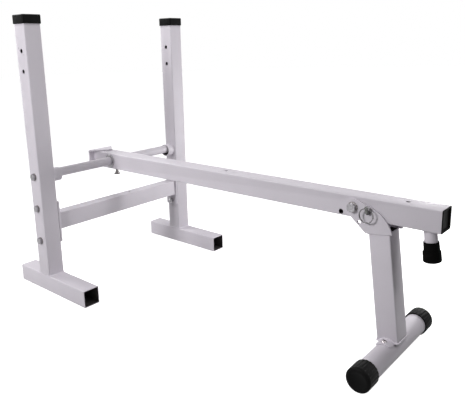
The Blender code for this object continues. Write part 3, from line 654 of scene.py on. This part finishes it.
def weld_bead(name, path, reference, body, radius, closed=True, pitch=0.0038):
    """Painted weld along a path: ripples like overlapped coins, half sunk in the pieces that it joins."""
    points = evenly(path, closed, pitch)
    count = len(points)
    reference = Vector(reference)
    loops = []
    for step, point in enumerate(points):
        before = points[step - 1] if closed or step > 0 else point
        after = points[(step + 1) % count] if closed or step + 1 < count else point
        along = (after - before).normalized()
        side = along.cross(reference).normalized()
        over = side.cross(along)
        wobble = 1.0 + 0.05 * sin(step * 0.37) + 0.04 * sin(step * 0.113 + 1.3)
        taper = 1.0 if closed else min(1.0, 0.35 + min(step, count - 1 - step) / ripple_steps)
        loop = []
        for corner in range(bead_sides):
            angle = tau * corner / bead_sides
            lag = 0.9 * abs(sin(angle))
            ripple = 0.90 + 0.13 * abs(sin(pi * (step / ripple_steps - lag)))
            local = radius * ripple * wobble * taper
            loop.append(point + local * (side * cos(angle) + over * sin(angle)))
        loops.append(loop)
    add_mesh(name, loft(loops, closed), paint, body, angle=80.0)


def sweep(path, radii, steps, reference, widen=1.0):
    """Bar along a path, with a radius at each of its points; flat wire is widened across the reference."""
    reference = Vector(reference)
    turns = [tau * step / steps for step in range(steps)]
    loops = []
    for index, (centre, radius) in enumerate(zip(path, radii)):
        before = path[max(index - 1, 0)]
        after = path[min(index + 1, len(path) - 1)]
        along = (after - before).normalized()
        side = along.cross(reference).normalized()
        over = side.cross(along)
        loops.append([
            centre + radius * (widen * side * cos(turn) + over * sin(turn)) for turn in turns
        ])
    return loft(loops)


def hexagon(flats, height):
    """Loop of a hexagon, whose corners lie on points of the loop."""
    sixth = tau / 6
    return ring_of(lambda angle: flats / 2 / cos(angle % sixth - sixth / 2), height, fastener_steps)


def chamfered(flats, height, way):
    """Hexagon loop whose corners are cut back by a cone, the way a turned chamfer cuts them."""
    loop = hexagon(flats, height)
    for point in loop:
        point.z = height - way * (point.xy.length - flats / 2 * chamfer_share) * chamfer_slope
    return loop


def thread_radius(angle, radius, height, pitch, depth):
    """Radius of a right-hand thread at an angle and a height."""
    phase = (height / pitch - angle / tau) % 1.0
    return radius - depth * min(1.0, 1.25 * abs(2 * phase - 1.0))


def thread(diameter, pitch, start, end):
    """Loops of a thread from one height down to a lower one, fading out at both ends."""
    per_turn = 8
    count = int((start - end) / pitch * per_turn)
    loops = []
    for row in range(count + 1):
        height = start + (end - start) * row / count
        depth = 0.54 * pitch * min(1.0, row / per_turn, (count - row) / (per_turn / 2))
        loops.append(ring_of(
            lambda angle: thread_radius(angle, diameter / 2, height, pitch, depth), height, fastener_steps,
        ))
    return loops


def bolt_shape(kind, length, thread_length):
    """Hexagon bolt: dished head with a turned chamfer, washer face, shank and thread."""
    diameter = kind["diameter"]
    flats = kind["flats"]
    head = kind["head"]
    ring = fastener_steps
    face = flats / 2 * chamfer_share
    relief = 0.0004
    loops = [
        circle(face * 0.55, head - relief, ring),
        circle(face * 0.62, head, ring),
        circle(face, head, ring),
        chamfered(flats, head, 1),
        hexagon(flats, relief),
        circle(face, relief, ring),
        circle(face, 0.0, ring),
        circle(diameter / 2, 0.0, ring),
    ]
    loops += thread(diameter, kind["pitch"], thread_length - length, diameter * 0.1 - length)
    loops.append(circle(diameter * 0.38, -length, ring))
    return loft(loops)


def nut_shape(diameter, flats, height, collar=0.0):
    """Hexagon nut, chamfered on both faces, with a nylon lock collar where it has one."""
    ring = fastener_steps
    face = flats / 2 * chamfer_share
    bore = diameter / 2 + 0.0002
    lead = 0.0008
    top = height - collar
    loops = [
        circle(face, 0.0, ring),
        chamfered(flats, 0.0, -1),
        chamfered(flats, top, 1),
        circle(face, top, ring),
    ]
    if collar:
        loops += [
            circle(face * 0.90, top + collar * 0.25, ring),
            circle(face * 0.86, height - collar * 0.2, ring),
            circle(face * 0.78, height, ring),
        ]
    loops += [
        circle(bore + lead, height, ring),
        circle(bore, height - lead, ring),
        circle(bore, lead, ring),
        circle(bore + lead, 0.0, ring),
    ]
    return loft(loops, closed=True)


def washer_shape(bore, diameter, thickness):
    """Stamped washer: rounded on the outer edge of its upper face."""
    edge = thickness * 0.3
    middle = edge * 0.3
    return turned([
        (bore / 2, 0.0),
        (diameter / 2, 0.0),
        (diameter / 2, thickness - edge),
        (diameter / 2 - middle, thickness - middle),
        (diameter / 2 - edge, thickness),
        (bore / 2 + edge / 2, thickness),
        (bore / 2, thickness - edge / 2),
    ], closed=True, steps=fastener_steps)


def place_bolt(node, sign, kind, thread_length):
    shape = bolt_shape(kind, size_of(node).x - kind["head"], thread_length)
    stand_in(node, shape, zinc, outward(node, sign, kind["head"]), crisp_angle)


def place_washer(node, sign, kind):
    size = size_of(node)
    shape = washer_shape(kind["diameter"] + washer_clearance, size.z, size.x)
    # The washers take the darker zinc, whose darkness is painted shade
    stand_in(node, shape, shade_darkened_zinc, outward(node, sign, size.x))


def place_nut(node, sign, kind, collar=0.0):
    height = size_of(node).x
    shape = nut_shape(kind["diameter"], kind["flats"], height, collar)
    stand_in(node, shape, zinc, outward(node, sign, height), crisp_angle)


def dress_rack_fasteners():
    for side, sign in sides:
        for level in ("lower", "upper"):
            name = side + "_" + level + "_crossbar"
            place_bolt(name + "_bolt", sign, rack_bolt, crossbar_thread)
            place_washer(name + "_washer", sign, rack_bolt)
            place_nut(name + "_nut", -sign, rack_bolt)
        place_bolt(side + "_bar_bolt", sign, rack_bolt, bar_thread)
        place_washer(side + "_bar_washer", sign, rack_bolt)


def dress_pivot_fasteners():
    place_bolt("leg_pivot_bolt", -1, pivot_bolt, pivot_thread)
    for node, sign in both("pivot_washer"):
        place_washer(node, sign, pivot_bolt)
    place_nut("leg_pivot_nut", 1, pivot_bolt, collar=0.003)


def tube_for(node, axis, holes=()):
    """Finer copy of a straight square tube, from its node's box, with its drilled holes."""
    low, high, centre = box_of(node)
    size = high - low
    index = "XYZ".index(axis)
    direction = Vector((0.0, 0.0, 0.0))
    direction[index] = 1.0
    start = centre.copy()
    start[index] = low[index]
    width, depth = {"X": (size.z, size.y), "Y": (size.z, size.x), "Z": (size.x, size.y)}[axis]
    piece = stand_in(node, square_tube(width, depth, size[index]), paint, aimed(start, direction))
    if holes:
        drill(piece, holes)


def round_tube_for(node, wall, edge, steps):
    """Finer copy of a round tube across the bench, with a small bevel on the outer edge of its ends."""
    size = size_of(node)
    radius = size.z / 2
    shape = turned([
        (radius - edge, 0.0), (radius, edge), (radius, size.x - edge), (radius - edge, size.x),
        (radius - wall, size.x), (radius - wall, 0.0),
    ], closed=True, steps=steps)
    stand_in(node, shape, paint, inward(node, -1))


def dress_uprights():
    """Posts with their hook holes and bolt holes, and the foot tubes under them."""
    for side in ("left", "right"):
        node = side + "_upright"
        centre = centre_of(node)
        levels = [(height, hook_hole) for height in hook_heights] + [(hinge.z, bolt_hole)]
        for level in ("lower", "upper"):
            levels.append((centre_of(side + "_" + level + "_crossbar_bolt").z, bolt_hole))
        tube_for(node, "Z", [((centre.x, centre.y, height), across, size) for height, size in levels])
        tube_for(side + "_foot", "Y")


def dress_crossbar():
    """Crossbar with its one drain hole, which goes through the upper wall only."""
    _, high, centre = box_of("lower_crossbar")
    above = high.z + drill_depth / 2 - 2 * tube_wall
    tube_for("lower_crossbar", "X", [((centre.x + drain_shift, centre.y, above), upward, drain_hole)])


def dress_beam():
    """Beam with the holes for bar, pivot, clamp stem, pad bolts and, out and folded, the lock pin."""
    low, _, centre = box_of("main_beam")
    below = low.z - drill_depth / 2 + 2 * tube_wall
    holes = [(hinge, across, bar_hole), (pivot, across, pivot_hole)]
    holes.append(((0.0, hinge.y, below), upward, clamp_hole))
    holes += [((0.0, hinge.y - reach, centre.z), upward, pad_hole) for reach in pad_reaches]
    holes.append((about_pivot(pin_reach, pin_angle), across, pin_hole))
    holes.append((about_pivot(fold_reach, fold_angle), across, fold_hole))
    tube_for("main_beam", "Y", holes)


def dress_sockets():
    """Sockets of the hinge bar: rounded at the mouth, their bore unpainted."""
    bore = 0.0178
    lip = 0.0005
    for node, sign in both("bar_socket"):
        outer = size_of(node).z / 2
        length = size_of(node).x
        shape = turned([
            (outer, 0.0), (outer, length - lip), (outer - lip, length), (bore + lip, length),
            (bore, length - lip), (bore, 0.0),
        ], closed=True, bare_row=4)
        stand_in(node, shape, paint, inward(node, sign))


def dress_top_caps():
    """Moulded caps with a rounded crown, a soft lower lip and a shallow panel in the top."""
    corner = 0.0060
    lip = 0.0005
    pocket = 0.0506
    pocket_corner = 0.0033
    roof = 0.004
    crown = 0.0026
    panel_margin = 0.007
    for node in ("left_top_cap", "right_top_cap"):
        low, high, centre = box_of(node)
        width = high.x - low.x
        depth = high.z - low.z
        panel = width - 2 * crown - panel_margin
        rows = [
            (pocket, pocket_corner, depth - roof),
            (pocket, pocket_corner, 0.0),
            (width - 2 * lip, corner - lip, 0.0),
            (width, corner, lip),
        ]
        rows += [(width - 2 * inset, corner - inset, depth - drop) for inset, drop in shoulder(crown, 6)]
        rows += [(panel, 0.003, depth), (panel - 0.0012, 0.0025, depth - 0.0005)]
        shape = loft([rounded_square(*row) for row in rows])
        stand_in(node, shape, plastic, Matrix.Translation((centre.x, centre.y, low.z)))


def dress_bushes():
    """Flanged metal bushes with a rounded flange and a lead-in at the bore."""
    flange = 0.0035
    rim = 0.0012
    bore = 0.01375
    spigot = 0.01655
    lead = 0.0008
    for node, sign in both("beam_bush"):
        outer = size_of(node).z / 2
        total = size_of(node).x
        profile = [(bore, 0.0), (spigot, 0.0), (spigot, total - flange), (outer - 0.0003, total - flange)]
        profile += arc_profile((outer - rim, total - rim), rim, 0.0, 90.0, 5)
        profile += [(bore + lead, total), (bore, total - lead)]
        stand_in(node, turned(profile, closed=True), zinc, outward(node, sign, total))


def dress_front_plug():
    """Plug with a rounded rim, a recessed face and a hollow insert."""
    node = "beam_front_plug"
    low, high, centre = box_of(node)
    size = high.z - low.z
    depth = high.y - low.y
    flange = 0.0015
    recess = 0.0040
    floor = 0.0025
    insert = size - 0.0046
    hollow = insert - 0.005
    rows = [
        (size - 0.0078, 0.0016, flange - recess),
        (size - 0.0070, 0.0020, flange - 0.0006),
        (size - 0.0060, 0.0025, flange),
        (size - 0.0016, 0.0029, flange),
        (size - 0.0005, 0.0030, flange - 0.0004),
        (size, 0.0030, flange - 0.0010),
        (size, 0.0030, 0.0),
        (insert, 0.0012, 0.0),
        (insert, 0.0012, flange - depth),
        (hollow, 0.0010, flange - depth),
        (hollow, 0.0010, flange - recess - floor),
    ]
    matrix = aimed((centre.x, low.y + flange, centre.z), (0.0, -1.0, 0.0))
    stand_in(node, loft([rounded_square(*row) for row in rows]), plastic, matrix)


def dress_bumper():
    """Rubber tip turned with soft steps, and the painted and welded post above it."""
    gap = 0.0003
    post_inset = 0.032
    post_length = 0.0580
    post_radius = 0.01375
    post_bevel = 0.0005
    pocket = post_radius + gap
    neck = 0.01625
    bottom = -post_length - gap - 0.012
    rim = bottom + 0.0436
    rim_round = 0.0008
    ledge = rim - 0.021
    base = 0.0190
    base_round = 0.0030
    top = Vector((0.0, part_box("beam_front_plug")[0].y + post_inset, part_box("main_beam")[0].z - gap))
    matrix = Matrix.Translation(top) @ Matrix.Rotation(-bumper_tilt, 4, "X")
    profile = [(pocket, -post_length - gap), (pocket, rim - 0.0006)]
    profile += arc_profile((neck - rim_round, rim - rim_round), rim_round, 100.0, 0.0, 6)
    profile += arc_profile((neck + 0.0012, ledge + 0.0020), 0.0009, 180.0, 270.0, 4)
    profile += arc_profile((0.0174, ledge - 0.0006), 0.0014, 90.0, 20.0, 5)
    profile += [(base, bottom + base_round)]
    profile += arc_profile((base - base_round, bottom + base_round), base_round, 0.0, -80.0, 6)
    profile += [(0.0150, bottom + 0.0004), (0.0130, bottom + 0.0004), (0.0120, bottom)]
    stand_in("bumper_tip", turned(profile), rubber, matrix)
    slope = tan(bumper_tilt)
    slanted = circle(post_radius, 0.0)
    for point in slanted:
        point.z = point.y * slope
    post = loft([
        slanted,
        circle(post_radius, -post_length + post_bevel),
        circle(post_radius - post_bevel, -post_length),
    ])
    stand_in("bumper_post", post, paint, matrix)
    spread = 1.03
    sink = 0.0006
    path = [
        matrix @ Vector((point.x * spread, point.y * spread, point.y * slope - sink)) for point in slanted
    ]
    weld_bead("bumper_weld", path, upward, "beam", radius=0.0018, pitch=0.0030)


def knurled(radius, height, depth=0.0):
    """Loop of the clamp screw, with a knurl of the given depth."""
    return ring_of(
        lambda angle: radius - depth * (0.5 + 0.5 * cos(clamp_knurls * angle)), height, fastener_steps,
    )


def dress_clamp_screw():
    """Thumb screw: a knurled disc and a cone under a threaded stem."""
    node = "clamp_screw"
    low, high, centre = box_of(node)
    disc = 0.0100
    knurl = 0.0006
    disc_top = low.z + 0.0032
    hub = 0.0065
    hub_top = disc_top + 0.009
    stem = 0.004
    pitch = 0.00125
    nut_flats = 0.013
    rows = [
        (disc - 0.0020, low.z),
        (disc - 0.0004, low.z + 0.0002),
        (disc, low.z + 0.0008, knurl),
        (disc, disc_top - 0.0008, knurl),
        (disc - 0.0004, disc_top - 0.0002),
        (hub + 0.0006, disc_top),
        (hub, disc_top + 0.0006),
        (stem + 0.0008, hub_top - 0.0020),
        (stem, hub_top),
    ]
    loops = [knurled(*row) for row in rows]
    loops += reversed(thread(2 * stem, pitch, high.z - 0.0010, hub_top + 0.0004))
    loops.append(knurled(stem * 0.75, high.z))
    matrix = Matrix.Translation((centre.x, hinge.y, 0.0))
    # The thumb screw takes the darker zinc, whose darkness is painted shade
    stand_in(node, loft(loops), shade_darkened_zinc, matrix, angle=30.0)
    low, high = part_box("clamp_nut")
    nut = nut_shape(2 * stem, nut_flats, high.z - low.z)
    stand_in("clamp_nut", nut, zinc, aimed((0.0, hinge.y, high.z), (0.0, 0.0, -1.0)), crisp_angle)


def flute_share(angle):
    """How deep a flute of the foot caps is at an angle: 0 on a rib, 1 in the middle of a flute."""
    return max(0.0, cos(cap_flutes * (angle + pi / cap_flutes))) ** 0.6


def fluted(radius, height, depth):
    """Loop of a foot cap, with flutes of the given depth."""
    return ring_of(lambda angle: radius - depth * flute_share(angle), height, cap_flutes * 8)


def dress_round_foot():
    """Round foot tube with its two moulded caps: fluted skirt, rounded shoulder and a shallow dish."""
    round_tube_for("front_foot_tube", tube_wall, tube_end_round, 96)
    foot = centre_of("front_foot_tube")
    radius = 0.0285
    flute = 0.0009
    pocket = 0.0253
    roof = 0.005
    crown = 0.0055
    dish = radius - crown - 0.0040
    for node, sign in both("foot_cap"):
        low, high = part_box(node)
        depth = high.x - low.x
        rows = [
            (pocket, depth - roof, 0.0),
            (pocket, 0.0006, 0.0),
            (pocket + 0.0005, 0.0, 0.0),
            (radius - 0.0009, 0.0, 0.0005),
            (radius - 0.0003, 0.0003, 0.0007),
            (radius, 0.0010, flute),
            (radius, depth - 2 * crown, flute),
            (radius, depth - 1.6 * crown, 0.0004),
            (radius, depth - 1.4 * crown, 0.0),
        ]
        rows += [(radius - inset, depth - drop, 0.0) for inset, drop in shoulder(crown, 6)]
        rows += [(dish, depth, 0.0), (dish - 0.0012, depth - 0.0007, 0.0)]
        shape = loft([fluted(*row) for row in rows])
        inner_end = low.x if sign > 0 else high.x
        stand_in(node, shape, plastic, aimed((inner_end, foot.y, foot.z), (sign, 0.0, 0.0)))


def coped(reach):
    """Height over the foot's axis at which the leg's wall ends, at a reach to the front or the rear of it."""
    return max(sqrt(saddle_crown ** 2 - reach ** 2), saddle_end_height)


def dress_leg():
    """Leg tube, its foot coped to the saddle and its top just above the plates' lower edges."""
    leg, foot = leg_and_foot()
    length = -foot.z - leg_top_drop
    shape = square_tube(leg_tube, leg_tube, length)
    for vert in shape.verts:
        if vert.co.z < length / 2:
            vert.co.z += coped(vert.co.y)
    stand_in("front_leg", shape, paint, leg @ Matrix.Translation(foot))


def dress_saddle():
    """Curved saddle between leg and foot, its corners rounded in plan."""
    leg, foot = leg_and_foot()
    outer = saddle_crown - saddle_gap
    inner = outer - saddle_thickness
    widest = acos(saddle_end_height / outer)
    steps = 24
    half = [(saddle_width / 2 - inset, widest - drop / outer) for inset, drop in shoulder(saddle_corner, 8)]
    loops = []
    for x, reach in [(-x, reach) for x, reach in half] + half[::-1]:
        turns = [reach * (2 * step / steps - 1) for step in range(steps + 1)]
        loop = [Vector((x, outer * sin(turn), outer * cos(turn))) for turn in turns]
        loop += [Vector((x, inner * sin(turn), inner * cos(turn))) for turn in reversed(turns)]
        loops.append(loop)
    stand_in("foot_saddle", loft(loops), paint, leg @ Matrix.Translation(foot))


def cut_cross(piece, rise):
    """Sink a tapered cross in a screw's head."""
    arm = 0.0074
    slot = 0.0018
    depth = 0.0026
    taper = 0.55
    shape = bmesh.new()
    for length, width in ((arm, slot), (slot, arm)):
        for vert in bmesh.ops.create_cube(shape, size=1.0)["verts"]:
            above = vert.co.z > 0
            narrow = 1.0 if above else taper
            vert.co.x *= length * narrow
            vert.co.y *= width * narrow
            vert.co.z = rise + 0.0006 if above else rise - depth
    cut_away(piece, shape, crossing=True)


def dress_saddle_screws():
    """Round-headed screws whose cross recess is dark."""
    leg = leg_and_foot()[0]
    up = leg.to_3x3() @ Vector(upward)
    foot = centre_of("front_foot_tube")
    shank = 0.0024
    head = 0.0060
    rise = 0.0042
    crown_radius = (head ** 2 + rise ** 2) / (2 * rise)
    half_angle = degrees(asin(head / crown_radius))
    arc = arc_profile((0.0, rise - crown_radius), crown_radius, 90.0 - half_angle, 88.0, 8)
    profile = [(0.0008, -0.012), (shank, -0.0098), (shank, 0.0), (head - 0.0002, 0.0), (head, 0.0003)]
    profile += [(radius, max(height, 0.0004)) for radius, height in arc[1:]]
    for node, sign in both("saddle_screw"):
        place = Vector((centre_of(node).x + sign * saddle_screw_shift, foot.y, foot.z))
        piece = stand_in(node, turned(profile, steps=40), screw_zinc, aimed(place + up * saddle_crown, up))
        cut_cross(piece, rise)
        piece.data.materials[1] = dark_steel
        for face in piece.data.polygons:
            reach = face.center.xy.length
            surface = rise - crown_radius + sqrt(max(crown_radius ** 2 - reach ** 2, 0.0))
            if reach < 0.8 * head and 0.0005 < face.center.z < surface - 0.0003:
                face.material_index = 1


def dress_lock_pin():
    """Bent lock pin with a chamfered tip and an eye for the ring."""
    node = "lock_pin"
    radius = 0.004
    chamfer = 0.0008
    draw = 0.0038
    bend = radians(75.0)
    bend_radius = 0.006
    bend_steps = 12
    arm = 0.012
    eye_inset = 0.0045
    eye_hole = 0.0050
    origin = about_pivot(pin_reach, pin_angle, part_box("left_leg_plate")[0].x)
    path = [Vector((plate_thickness, 0.0, 0.0)), Vector((plate_thickness - chamfer, 0.0, 0.0))]
    radii = [radius - chamfer, radius]
    for step in range(bend_steps + 1):
        angle = bend * step / bend_steps
        path.append(Vector((-draw - bend_radius * sin(angle), 0.0, bend_radius * (1 - cos(angle)))))
        radii.append(radius)
    along = Vector((-cos(bend), 0.0, sin(bend)))
    end = path[-1] + along * arm
    for back, shrink in ((0.0012, 0.0), (0.0006, 0.0002), (0.0002, 0.0006), (0.0, 0.0012)):
        path.append(end - along * back)
        radii.append(radius - shrink)
    piece = stand_in(node, sweep(path, radii, 32, lengthwise), dark_steel, Matrix.Translation(origin))
    drill(piece, [(origin + end - along * eye_inset, lengthwise, eye_hole)], steps=32)


def dress_pin_ring():
    """Split ring: two turns of flattened wire side by side, one crossing over to the other."""
    node = "pin_ring"
    mean = 0.0160
    hang = 0.0156
    wire = 0.00078
    flatness = 1.4
    end_angle = radians(150.0)
    crossing_start = 0.46
    crossing_length = 0.08
    steps = 120
    path = []
    for step in range(steps + 1):
        share = step / steps
        angle = 2 * tau * share + end_angle
        crossing = min(1.0, max(0.0, (share - crossing_start) / crossing_length))
        offset = wire * 1.02 * (2 * (3 * crossing ** 2 - 2 * crossing ** 3) - 1)
        path.append(Vector((offset, mean * sin(angle), mean * cos(angle) - hang)))
    shape = sweep(path, [wire] * len(path), 16, across, flatness)
    stand_in(node, shape, ring_steel, Matrix.Translation(joint_places["pin_ring_swing"]), angle=60.0)


def weld_uprights():
    for node in ("left_upright", "right_upright"):
        low, high, centre = box_of(node)
        width = high.x - low.x - 0.0016
        depth = high.y - low.y + 0.0010
        seam = rounded_rectangle(width, depth, tube_radius, low.z - 0.00015)
        path = [point + Vector((centre.x, centre.y, 0.0)) for point in seam]
        weld_bead(node + "_weld", path, upward, "rack", radius=0.0020)


def weld_round_end(name, seam, node, sign, radius, pitch=0.0038):
    """Weld round one end of a node that lies across the bench, along a seam in its cross-section."""
    low, high, centre = box_of(node)
    sink = 0.0006
    end = (high.x if sign > 0 else low.x) - sign * sink
    path = [Vector((end, centre.y + point.x, centre.z + point.y)) for point in seam]
    weld_bead(name, path, across, "rack", radius, pitch=pitch)


def weld_crossbar():
    size = size_of("lower_crossbar")
    seam = rounded_rectangle(size.y + 0.0012, size.z + 0.0012, tube_radius, 0.0)
    for side, sign in sides:
        weld_round_end(side + "_crossbar_weld", seam, "lower_crossbar", sign, radius=0.0022)


def weld_sockets():
    for side, sign in sides:
        node = side + "_bar_socket"
        seam = circle(size_of(node).z / 2 + 0.0004, 0.0)
        weld_round_end(side + "_socket_weld", seam, node, sign, radius=0.0018, pitch=0.0032)


def weld_leg():
    """Welds along the lower edges of the side plates and round the leg's foot."""
    leg, foot = leg_and_foot()
    plate_bottom = 0.0579
    forward = 0.003
    proud = 0.0006
    step_length = 0.003
    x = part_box("right_leg_plate")[1].x - plate_thickness + 0.0005
    rear = Vector((0.0, -(leg_offset - leg_tube / 2) + forward, -plate_bottom))
    front = Vector((0.0, -(leg_offset + leg_tube / 2) + forward, -plate_bottom))
    for side, sign in sides:
        path = [leg @ (rear.lerp(front, step / 24) + Vector((sign * x, 0.0, 0.0))) for step in range(25)]
        weld_bead(side + "_plate_weld", path, across, "leg", radius=0.0019, closed=False, pitch=0.0032)
    seam = rounded_square(leg_tube + 2 * proud, tube_radius, 0.0)
    path = []
    for before, after in zip(seam, seam[1:] + seam[:1]):
        pieces = max(1, round((after - before).length / step_length))
        for step in range(pieces):
            point = before.lerp(after, step / pieces)
            path.append(leg @ Vector((point.x, foot.y + point.y, foot.z + coped(point.y) + proud)))
    weld_bead("leg_foot_weld", path, leg.to_3x3() @ Vector(upward), "leg", radius=0.0021)


def weld_rear_bracket():
    """Welds along the flange's slanted edges on the beam, and round the beam's rear end except its top."""
    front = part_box("rear_bracket")[0].y
    _, high, centre = box_of("main_beam")
    tip_half = 0.0112
    root_half = 0.0235
    proud = 0.0004
    for side, sign in sides:
        tip = Vector((sign * tip_half, front + 0.001, high.z + proud))
        root = Vector((sign * root_half, front + 0.017, high.z + proud))
        path = [tip.lerp(root, step / 12) for step in range(13)]
        weld_bead(side + "_bracket_weld", path, upward, "beam", radius=0.0015, closed=False, pitch=0.0030)
    seam = rounded_square(high.x * 2 + 2 * proud, tube_radius, 0.0)
    path = [Vector((point.x, high.y - proud, centre.z + point.y)) for point in seam if point.y < root_half]
    path.sort(key=lambda point: atan2(point.x, point.z - centre.z) % tau)
    weld_bead("bracket_web_weld", path, lengthwise, "beam", radius=0.0019, closed=False)


setup_camera()
setup_world()
setup_floor()
setup_lights()
bpy.context.scene.view_settings.view_transform = "Standard"
finish_solids()
dress_rack_fasteners()
dress_pivot_fasteners()
dress_uprights()
dress_crossbar()
dress_beam()
round_tube_for("pivot_bar", hinge_bar_wall, 0.0003, round_steps)
dress_sockets()
dress_top_caps()
dress_bushes()
dress_front_plug()
dress_bumper()
dress_clamp_screw()
dress_round_foot()
dress_leg()
dress_saddle()
dress_saddle_screws()
dress_lock_pin()
dress_pin_ring()
weld_uprights()
weld_crossbar()
weld_sockets()
weld_leg()
weld_rear_bracket()
